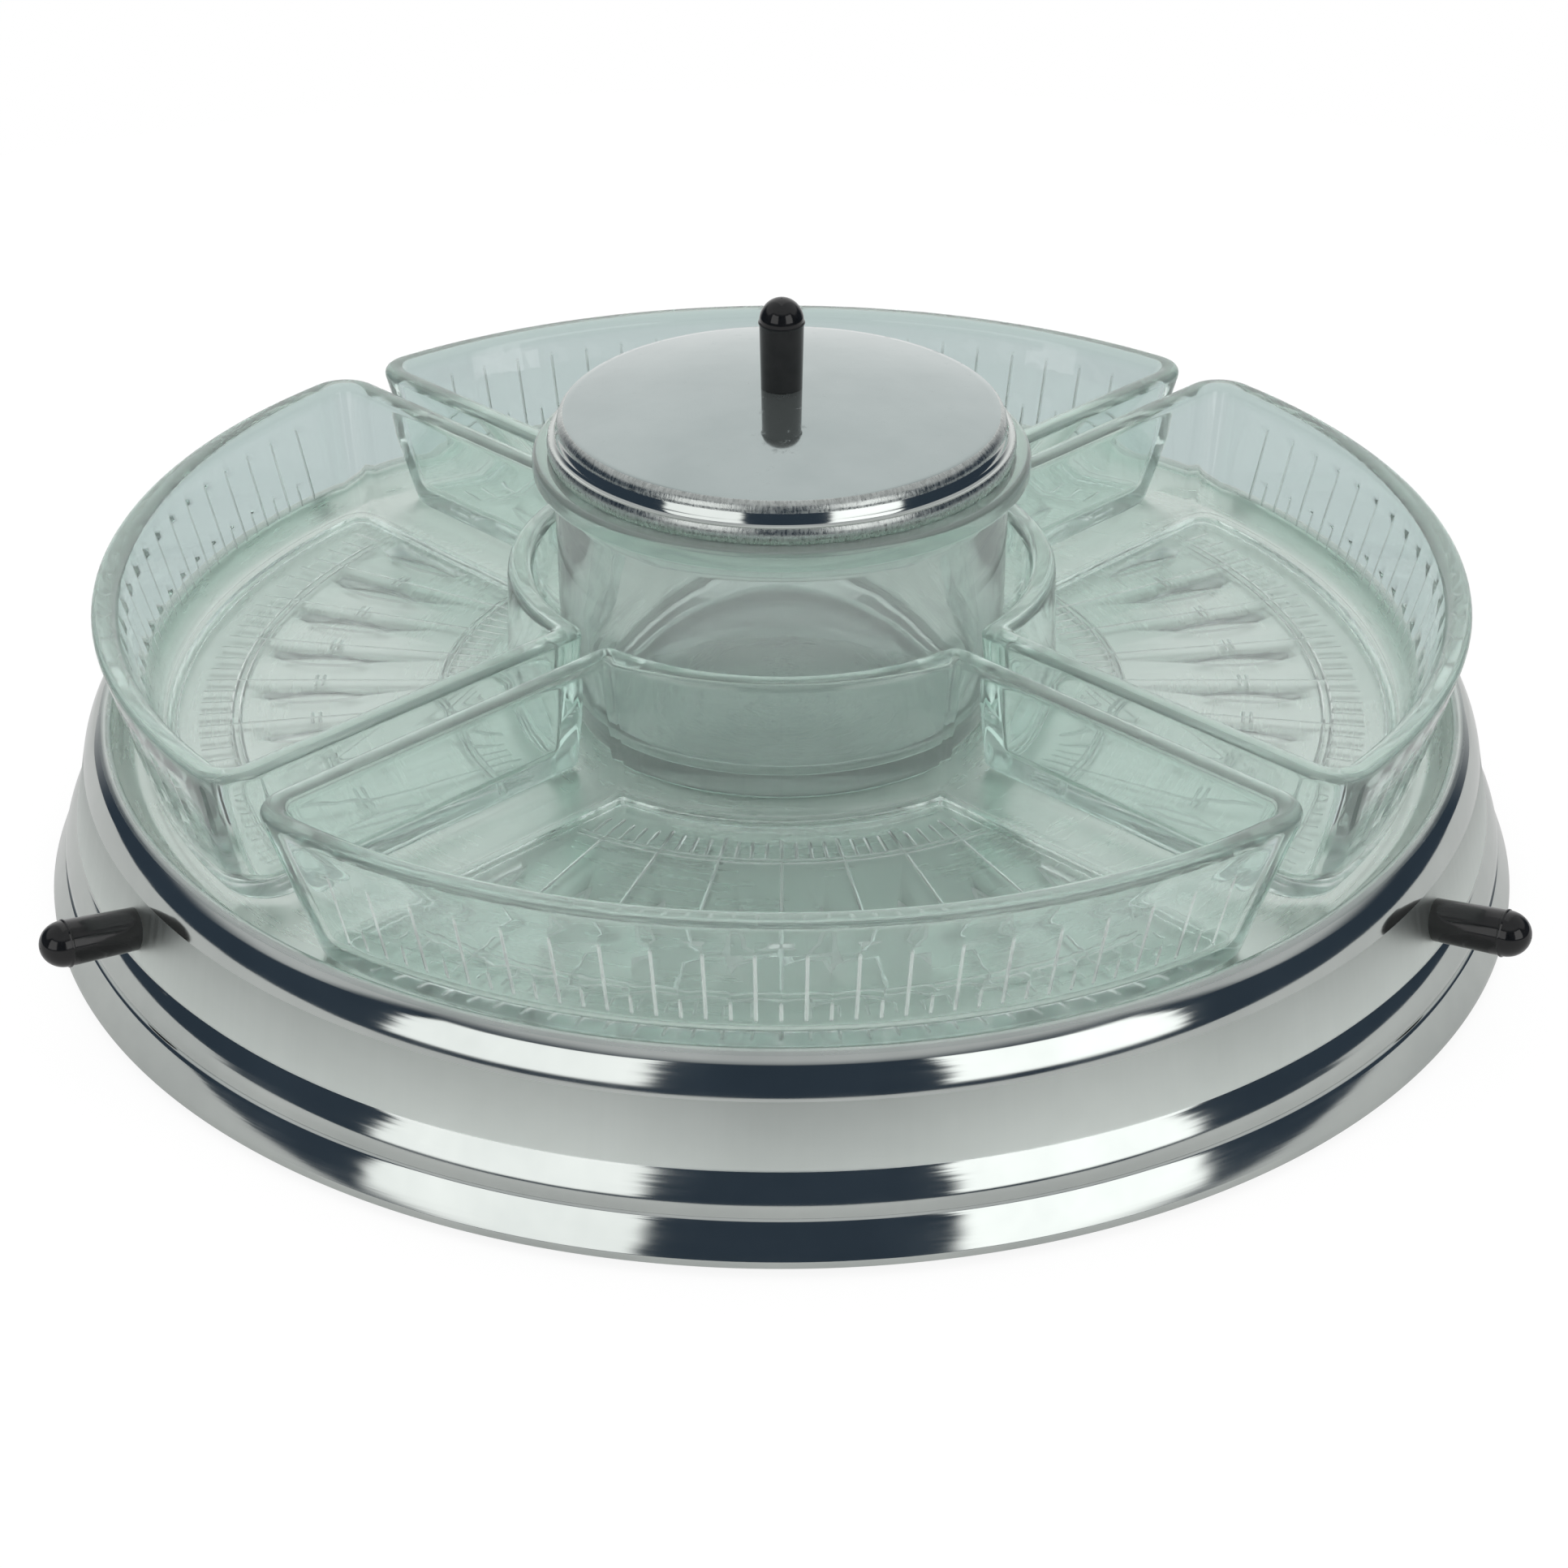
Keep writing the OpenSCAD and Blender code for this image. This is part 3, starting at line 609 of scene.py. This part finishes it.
def dish_half(outer, inner, edge, big_r, small_r, cut):
    """Half outline of a dish in plan, from the middle of its outer arc to that of its inner.
    cut(index) is the depth share of each notch at this height."""
    big_a = 45 - math.degrees(math.asin((edge + big_r) / (outer - big_r)))
    small_a = 45 - math.degrees(math.asin((edge + small_r) / (inner + small_r)))
    half = math.degrees(NOTCH_HALF / outer)
    points = [toward(0) * (outer - NOTCH_DEPTH * cut(0)), toward(half * max(cut(0), 0.35)) * outer]
    for i in range(1, NOTCH_COUNT + 1):
        width = half * max(cut(i), 0.35)
        for side, depth in ((-width, 0), (0, NOTCH_DEPTH * cut(i)), (width, 0)):
            points.append(toward(NOTCH_PITCH * i + side) * (outer - depth))
    points.append(toward((big_a + NOTCH_PITCH * NOTCH_COUNT) / 2) * outer)
    big_c = toward(big_a) * (outer - big_r)
    small_c = toward(small_a) * (inner + small_r)
    points += [big_c + toward(big_a + (135 - big_a) * i / 12) * big_r for i in range(13)]
    end = points[-1]
    turn = [small_c + toward(135 + (45 + small_a) * i / 10) * small_r for i in range(11)]
    points += [end.lerp(turn[0], i / 5) for i in range(1, 5)] + turn
    points += [toward(small_a * (1 - i / 14)) * inner for i in range(1, 15)]
    return points


def dish_levels(height):
    """(height, inset) of each ring of a dish: up the outside, over the rim and down inside."""
    levels = [(FOOT_FILLET * (1 - math.cos(a)), FOOT_FILLET * (1 - math.sin(a)))
              for a in (math.radians(18 * i) for i in range(6))]
    cuts = (5, NOTCH_FOOT - 0.9, NOTCH_FOOT, 11.5, 13, 14.3, SHORT_TOP, 18, 21, 24, 26.4, LONG_TOP, 29.5)
    levels += [(z, 0) for z in cuts]
    levels += [(height - RIM_ROUND * (1 - math.sin(a)), RIM_ROUND * (1 - math.cos(a)))
               for a in (math.radians(18 * i) for i in range(6))]
    levels += [(height - RIM_ROUND * (1 - math.cos(a)), DISH_WALL - RIM_ROUND * (1 - math.sin(a)))
               for a in (math.radians(18 * i) for i in range(6))]
    levels += [(z, DISH_WALL) for z in (27, 20, 13)]
    levels += [(DISH_FLOOR + FLOOR_FILLET * (1 - math.sin(a)), DISH_WALL + FLOOR_FILLET * (1 - math.cos(a)))
               for a in (math.radians(15 * i) for i in range(7))]
    return levels


def dish_ring(outer_r, inner_r, height, z, inset, outside):
    """Closed outline of a dish in plan at height z, with the V cuts where it is outside."""
    lean = 1 - z / height

    def cut(index):
        return notch(index, z) if outside else 0

    half = dish_half(outer_r - OUTER_LEAN * lean - inset, inner_r + ARC_LEAN * lean + inset,
                     DISH_GAP / 2 + SIDE_LEAN * lean + inset, max(OUTER_CORNER_R - inset, 3),
                     max(INNER_CORNER_R - inset / 2, 2), cut)
    return half + [Vector((-p.x, p.y)) for p in half[-2:0:-1]]


# Cut pattern under the floor of a dish: angles in degrees from its middle, radii in millimetres
PANEL_INSET = 5.7
PANEL_STEP = 0.9
PANEL_DEPTH = 0.7
RAY_PITCH = 9.6
RAYS = range(-3, 4)
RAY_REACH = (68, 129.5)
OUTER_BAND = (120.7, 122.5)
MIDDLE_BAND = (103.2, 104.9)
INNER_BAND = (75.5, 77)
GROOVE_HALF = 0.42
GROOVE_DEPTH = 0.3
LENS_REACH = (93, 115.5)
LENS_HALF_WIDTH = 2.3
LENS_DEPTH = 0.65


def ring_run(radius, start, end):
    """Points of a run round the tray's axis between two angles in degrees."""
    steps = max(2, round(abs(end - start) / 2.4))
    return [toward(start + (end - start) * i / steps) * radius for i in range(steps + 1)]


def floor_grooves():
    """Runs of V groove under a dish's floor, each a list of points."""
    runs = [[toward(RAY_PITCH * k) * radius for radius in RAY_REACH] for k in RAYS]
    for radius in OUTER_BAND:
        runs.append(ring_run(radius, -35, 35))
    for radius in INNER_BAND:
        runs.append(ring_run(radius, -33, 33))
    for k in RAYS:
        for radius in MIDDLE_BAND:
            runs.append(ring_run(radius, RAY_PITCH * k - 1.3, RAY_PITCH * k + 1.3))
    for k in range(-4, 4):
        for tick in (1, 2, 3):
            angle = RAY_PITCH * (k + tick / 4)
            runs.append([toward(angle) * OUTER_BAND[1], toward(angle) * RAY_REACH[1]])
            runs.append([toward(angle) * (RAY_REACH[0] + 1), toward(angle) * INNER_BAND[0]])
    return runs


def lens_cuts():
    """Heading of each almond cut between two rays."""
    return [toward(RAY_PITCH * (k + 0.5)) for k in range(-4, 4)]


def aside(heading):
    """Heading turned a quarter turn to the left."""
    return Vector((-heading.y, heading.x))


def within(loop, p):
    """Whether a point lies inside a closed loop."""
    hit = False
    for a, b in zip(loop, loop[1:] + loop[:1]):
        if (a.y > p.y) != (b.y > p.y) and p.x < (b.x - a.x) * (p.y - a.y) / (b.y - a.y) + a.x:
            hit = not hit
    return hit


def clipped(run, loop):
    """The longest stretch of a run whose points lie inside a loop, in fine steps."""
    fine = []
    for a, b in zip(run, run[1:]):
        steps = max(1, int((b - a).length / 0.4))
        fine += [a.lerp(b, i / steps) for i in range(steps)]
    fine.append(run[-1])
    kept = [p for p in fine if within(loop, p)]
    if len(kept) < 4:
        return None
    corners = [p for p in run[1:-1] if within(loop, p)]
    return [kept[0]] + corners + [kept[-1]]


def groove_outline(run):
    """Closed outline round a run of V groove, pointed at both ends."""
    left, right = [], []
    for i, p in enumerate(run):
        heading = (run[min(i + 1, len(run) - 1)] - run[max(i - 1, 0)]).normalized()
        left.append(p + aside(heading) * GROOVE_HALF)
        right.append(p - aside(heading) * GROOVE_HALF)
    start = (run[0] - run[1]).normalized() * GROOVE_HALF
    end = (run[-1] - run[-2]).normalized() * GROOVE_HALF
    return [run[0] + start] + right + [run[-1] + end] + left[::-1]


def groove_depth(p, runs):
    """Depth of the V grooves at a point, 0 outside them."""
    deepest = 0
    for run in runs:
        for start, end in zip(run, run[1:]):
            span = end - start
            t = max(0, min(1, (p - start).dot(span) / span.dot(span)))
            deepest = max(deepest, GROOVE_DEPTH * (1 - (p - start - span * t).length / GROOVE_HALF))
    return deepest


def lens_depth(p, headings):
    """Depth of the almond cuts at a point, 0 outside them."""
    middle = sum(LENS_REACH) / 2
    reach = (LENS_REACH[1] - LENS_REACH[0]) / 2
    deepest = 0
    for heading in headings:
        away = p - heading * middle
        s = away.dot(heading) / reach
        if abs(s) < 1:
            share = 1 - abs(away.dot(aside(heading))) / (LENS_HALF_WIDTH * (1 - s * s))
            deepest = max(deepest, LENS_DEPTH * (1 - s * s) * share)
    return deepest


def cut_panel(border):
    """Points (x, y, depth) and triangles of the cut pattern inside a border loop."""
    points = list(border)
    edges = [(i, (i + 1) % len(border)) for i in range(len(border))]

    def add(line, closed):
        first = len(points)
        points.extend(line)
        edges.extend((first + i, first + i + 1) for i in range(len(line) - 1))
        if closed:
            edges.append((first + len(line) - 1, first))

    centre = sum(border, Vector((0, 0))) / len(border)
    safe = [p + (centre - p).normalized() * 1.2 for p in border]
    runs = [run for run in (clipped(run, safe) for run in floor_grooves()) if run]
    for run in runs:
        add(run, False)
        add(groove_outline(run), True)
    headings = [h for h in lens_cuts() if all(within(safe, h * r) for r in LENS_REACH)]
    for heading in headings:
        middle = heading * sum(LENS_REACH) / 2
        reach = (LENS_REACH[1] - LENS_REACH[0]) / 2
        shares = [i / 7 for i in range(-7, 8)]
        ridge = [middle + heading * reach * s for s in shares]
        sides = []
        for turn in (1, -1):
            side = [p + aside(heading) * LENS_HALF_WIDTH * (1 - s * s) * turn
                    for p, s in zip(ridge, shares)]
            sides.append(side[1:-1])
        add(ridge, False)
        add([ridge[0]] + sides[1] + [ridge[-1]] + sides[0][::-1], True)
    flat, _, triangles, *_ = delaunay_2d_cdt(points, edges, [list(range(len(border)))], 1, 1e-4)
    depths = [(p.x, p.y, PANEL_DEPTH + max(groove_depth(p, runs), lens_depth(p, headings), 0))
              for p in flat]
    return depths, triangles


def dish_mesh(outer_r, inner_r, height):
    """Points and faces of a dish whose axis runs along -Y, its foot at z = 0."""
    levels = dish_levels(height)
    rim = max(range(len(levels)), key=lambda i: levels[i][0])
    rings = [dish_ring(outer_r, inner_r, height, z, inset, i < rim) for i, (z, inset) in enumerate(levels)]
    heights = [z for z, _ in levels]
    for inset, depth in ((PANEL_INSET, 0), (PANEL_INSET + PANEL_STEP, PANEL_DEPTH)):
        rings.insert(0, dish_ring(outer_r, inner_r, height, 0, inset, False))
        heights.insert(0, depth)
    n = len(rings[0])
    points = [(p.x, p.y, z) for ring, z in zip(rings, heights) for p in ring]
    faces = [(k * n + i, k * n + (i + 1) % n, (k + 1) * n + (i + 1) % n, (k + 1) * n + i)
             for k in range(len(rings) - 1) for i in range(n)]
    faces.append([(len(rings) - 1) * n + i for i in range(n)])
    cut, triangles = cut_panel(rings[0])
    places = {(round(p.x, 3), round(p.y, 3)): i for i, p in enumerate(rings[0])}
    index = []
    for x, y, depth in cut:
        key = (round(x, 3), round(y, 3))
        if key in places:
            index.append(places[key])
        else:
            index.append(len(points))
            points.append((x, y, depth))
    faces += [[index[i] for i in reversed(t)] for t in triangles]
    return points, faces


def make_dishes():
    """Four dishes that share one mesh."""
    outer_r = mm_box("dish_2")[1].x
    inner_r = mm_box("jar")[1].x + JAR_GAP
    low, high = mm_box("dish_1")
    points, faces = dish_mesh(outer_r, inner_r, high.z - low.z)
    shared = None
    for name, turn in DISH_TURNS.items():
        low, high = mm_box(name)
        if turn in (90, 270):
            shift = (low.y + high.y) / 2
        else:
            shift = low.y + outer_r if turn == 0 else high.y - outer_r
        if shared is None:
            dish = new_piece(name + "_glass", points, faces, [DISH_GLASS])
            shared = dish.data
        else:
            dish = bpy.data.objects.new(name + "_glass", shared)
            scene.collection.objects.link(dish)
        dish.matrix_world = (Matrix.Translation(Vector((0, shift, low.z)) * MM)
                             @ Matrix.Rotation(math.radians(turn), 4, "Z"))
        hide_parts(name)
        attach(dish, name)


# ------------------------------------------------------------------ studio
CAMERA_PLACE = (0.0005, -0.6204, 0.3702)
CAMERA_PITCH = 0.525
CAMERA_LENS = 71.78
FLOOR_R = 0.55
FLOOR_CORNERS = 48
FLOOR_COLOR = (0.6, 0.6, 0.6)
FLOOR_GLOW = (1.17, 1.17, 1.17)
FLOOR_THROUGH_GLASS = (0.53, 0.59, 0.60)
FLOOR_SHARES = (("Is Camera Ray", 0.75), ("Is Glossy Ray", 0.25), ("Is Transmission Ray", 0.7))

# Dome: radius in metres, azimuths from -Y and elevations in degrees
DOME_R = 2.4
DOME_COLUMNS = 72
DOME_ROWS = 24
DOME_REACH = math.pi * 0.55
ROOM_DARK = (0.042, 0.06, 0.085)
BACK_AZIMUTHS = (122, 158)
CEILING_ELEVATIONS = (38, 50)
CEILING_SIDES = (58, 84)
CEILING_DROP = 20.0
CEILING_SHARE = 0.6
BACK_LEVEL = 1.08
LEFT_WINDOW = (-57, -18.5)
RIGHT_WINDOW = (23.5, 59)
WINDOW_ELEVATIONS = (1.5, 38)
WINDOW_SOFT = 1.5
WINDOW_RAG = 7.0
WINDOW_LEVEL = 1.55
RIGHT_SHARE = 1.2
# Past DEEP_FROM bounces a mirrored ray sees an even level. A ray through glass sees white, which
# rises by THROUGH_GAIN once its depth has passed THROUGH_DEPTH.
DEEP_LEVEL = 0.95
DEEP_FROM = 1.5
THROUGH_DEPTH = (12, 18)
THROUGH_GAIN = 1.8


def emit(name):
    """A material with an empty node tree, and that tree."""
    material = bpy.data.materials.new(name)
    material.use_nodes = True
    tree = material.node_tree
    tree.nodes.clear()
    return material, tree


def make_camera():
    camera = bpy.data.objects.new("camera", bpy.data.cameras.new("camera"))
    camera.data.lens = CAMERA_LENS
    camera.data.sensor_width = 36
    camera.location = CAMERA_PLACE
    camera.rotation_euler = (math.pi / 2 - CAMERA_PITCH, 0, 0)
    scene.collection.objects.link(camera)
    scene.camera = camera


def make_floor():
    """Floor that is white to the camera, and greyer in metal and through glass. It keeps the
    object's shadow."""
    mesh = bpy.data.meshes.new("floor")
    corners = [toward(360 / FLOOR_CORNERS * i) * FLOOR_R for i in range(FLOOR_CORNERS)]
    mesh.from_pydata([(p.x, p.y, 0) for p in corners], [], [range(FLOOR_CORNERS)])
    floor = bpy.data.objects.new("floor", mesh)
    scene.collection.objects.link(floor)
    material, tree = emit("floor_pale")
    new, link = tree.nodes.new, tree.links.new
    diffuse = new("ShaderNodeBsdfDiffuse")
    diffuse.inputs["Color"].default_value = (*FLOOR_COLOR, 1)
    glow = new("ShaderNodeEmission")
    path = new("ShaderNodeLightPath")
    tone = new("ShaderNodeMix")
    tone.data_type = "RGBA"
    link(path.outputs["Is Transmission Ray"], tone.inputs[0])
    tone.inputs[6].default_value = (*FLOOR_GLOW, 1)
    tone.inputs[7].default_value = (*FLOOR_THROUGH_GLASS, 1)
    link(tone.outputs[2], glow.inputs["Color"])
    part = None
    for ray, weight in FLOOR_SHARES:
        share = new("ShaderNodeMath")
        share.operation = "MULTIPLY_ADD"
        link(path.outputs[ray], share.inputs[0])
        share.inputs[1].default_value = weight
        share.inputs[2].default_value = 0.0
        if part:
            link(part, share.inputs[2])
        part = share.outputs[0]
    mix = new("ShaderNodeMixShader")
    link(part, mix.inputs[0])
    link(diffuse.outputs[0], mix.inputs[1])
    link(glow.outputs[0], mix.inputs[2])
    output = new("ShaderNodeOutputMaterial")
    link(mix.outputs[0], output.inputs["Surface"])
    mesh.materials.append(material)


def make_world():
    """Even white light from all round, left out of what metal mirrors."""
    world = bpy.data.worlds.new("studio")
    world.use_nodes = True
    world.node_tree.nodes["Background"].inputs["Color"].default_value = (1, 1, 1, 1)
    world.cycles_visibility.glossy = False
    scene.world = world


def dome_mesh():
    """Upper part of a sphere, from its top down to a little below the floor."""
    points = [(0, 0, DOME_R)]
    for i in range(1, DOME_ROWS + 1):
        polar = DOME_REACH * i / DOME_ROWS
        for k in range(DOME_COLUMNS):
            a = 2 * math.pi * k / DOME_COLUMNS
            points.append((DOME_R * math.sin(polar) * math.cos(a), DOME_R * math.sin(polar) * math.sin(a),
                           DOME_R * math.cos(polar)))
    faces = [(0, 1 + k, 1 + (k + 1) % DOME_COLUMNS) for k in range(DOME_COLUMNS)]
    for i in range(DOME_ROWS - 1):
        for k in range(DOME_COLUMNS):
            a = 1 + i * DOME_COLUMNS + k
            b = 1 + i * DOME_COLUMNS + (k + 1) % DOME_COLUMNS
            faces.append((a, a + DOME_COLUMNS, b + DOME_COLUMNS, b))
    mesh = bpy.data.meshes.new("studio_dome")
    mesh.from_pydata(points, [], faces)
    return mesh


def dome_light():
    """Light of the dome: a dark room in front with two ragged windows, bright behind."""
    material, tree = emit("studio_light")
    material.cycles.emission_sampling = "NONE"
    new, link = tree.nodes.new, tree.links.new

    def maths(operation, a, b=0.0):
        node = new("ShaderNodeMath")
        node.operation = operation
        for socket, value in zip(node.inputs, (a, b)):
            if isinstance(value, (int, float)):
                socket.default_value = value
            else:
                link(value, socket)
        return node.outputs[0]

    def ramp(value, start, end):
        node = new("ShaderNodeMapRange")
        node.interpolation_type = "SMOOTHSTEP"
        link(value, node.inputs["Value"])
        node.inputs["From Min"].default_value = start
        node.inputs["From Max"].default_value = end
        return node.outputs[0]

    def choose(share, off, on):
        """off where share is 0, on where it is 1."""
        return maths("ADD", maths("MULTIPLY", off, maths("SUBTRACT", 1.0, share)),
                     maths("MULTIPLY", on, share))

    split = new("ShaderNodeSeparateXYZ")
    link(new("ShaderNodeTexCoord").outputs["Object"], split.inputs[0])
    x, y, z = split.outputs[:3]
    azimuth = maths("MULTIPLY", maths("ARCTAN2", x, maths("MULTIPLY", y, -1.0)), 180 / math.pi)
    elevation = maths("MULTIPLY", maths("ARCSINE", maths("DIVIDE", z, DOME_R)), 180 / math.pi)
    aside_of_front = maths("ABSOLUTE", azimuth)

    rough = new("ShaderNodeTexNoise")
    rough.noise_dimensions = "1D"
    rough.inputs["Scale"].default_value = 0.3
    rough.inputs["Detail"].default_value = 5
    link(elevation, rough.inputs["W"])
    rag = maths("MULTIPLY", maths("SUBTRACT", rough.outputs["Fac"], 0.5), WINDOW_RAG)
    ragged = maths("ADD", azimuth, rag)

    def between(value, low, high):
        return maths("MULTIPLY", ramp(value, low - WINDOW_SOFT, low + WINDOW_SOFT),
                     ramp(value, high + WINDOW_SOFT, high - WINDOW_SOFT))

    def window(sides):
        return maths("MULTIPLY", between(ragged, *sides), between(elevation, *WINDOW_ELEVATIONS))

    behind = ramp(aside_of_front, *BACK_AZIMUTHS)
    drop = maths("MULTIPLY", ramp(aside_of_front, *CEILING_SIDES), CEILING_DROP)
    above = maths("MULTIPLY", ramp(maths("ADD", elevation, drop), *CEILING_ELEVATIONS), CEILING_SHARE)
    windows = maths("ADD", window(LEFT_WINDOW), maths("MULTIPLY", window(RIGHT_WINDOW), RIGHT_SHARE))
    room = maths("MULTIPLY", maths("MAXIMUM", behind, above), BACK_LEVEL)
    first = maths("ADD", room, maths("MULTIPLY", windows, WINDOW_LEVEL))

    path = new("ShaderNodeLightPath").outputs
    deep = maths("GREATER_THAN", path["Ray Depth"], DEEP_FROM)
    mirrored = choose(deep, first, DEEP_LEVEL)
    gain = maths("MULTIPLY", ramp(path["Ray Depth"], *THROUGH_DEPTH), THROUGH_GAIN)
    bright = choose(path["Is Transmission Ray"], mirrored, maths("ADD", gain, 1.0))
    mix = new("ShaderNodeMix")
    mix.data_type = "RGBA"
    link(maths("MINIMUM", bright, 1.0), mix.inputs[0])
    mix.inputs[6].default_value = (*ROOM_DARK, 1)
    mix.inputs[7].default_value = (1, 1, 1, 1)
    glow = new("ShaderNodeEmission")
    link(mix.outputs[2], glow.inputs["Color"])
    link(maths("MAXIMUM", bright, 1.0), glow.inputs["Strength"])
    output = new("ShaderNodeOutputMaterial")
    link(glow.outputs[0], output.inputs["Surface"])
    return material


def make_dome():
    """Studio that only gloss and glass see: dome_light to gloss, and white through glass."""
    mesh = dome_mesh()
    dome = bpy.data.objects.new("studio_dome", mesh)
    scene.collection.objects.link(dome)
    dome.visible_camera = False
    dome.visible_diffuse = False
    dome.visible_volume_scatter = False
    dome.visible_shadow = False
    mesh.materials.append(dome_light())


make_camera()
make_world()
make_floor()
make_dome()
finish_cad_nodes()
make_pegs(*make_tray())
make_lid(make_jar())
make_dishes()

scene.view_settings.view_transform = "Standard"
scene.cycles.max_bounces = 32
scene.cycles.transmission_bounces = 32
scene.cycles.glossy_bounces = 12
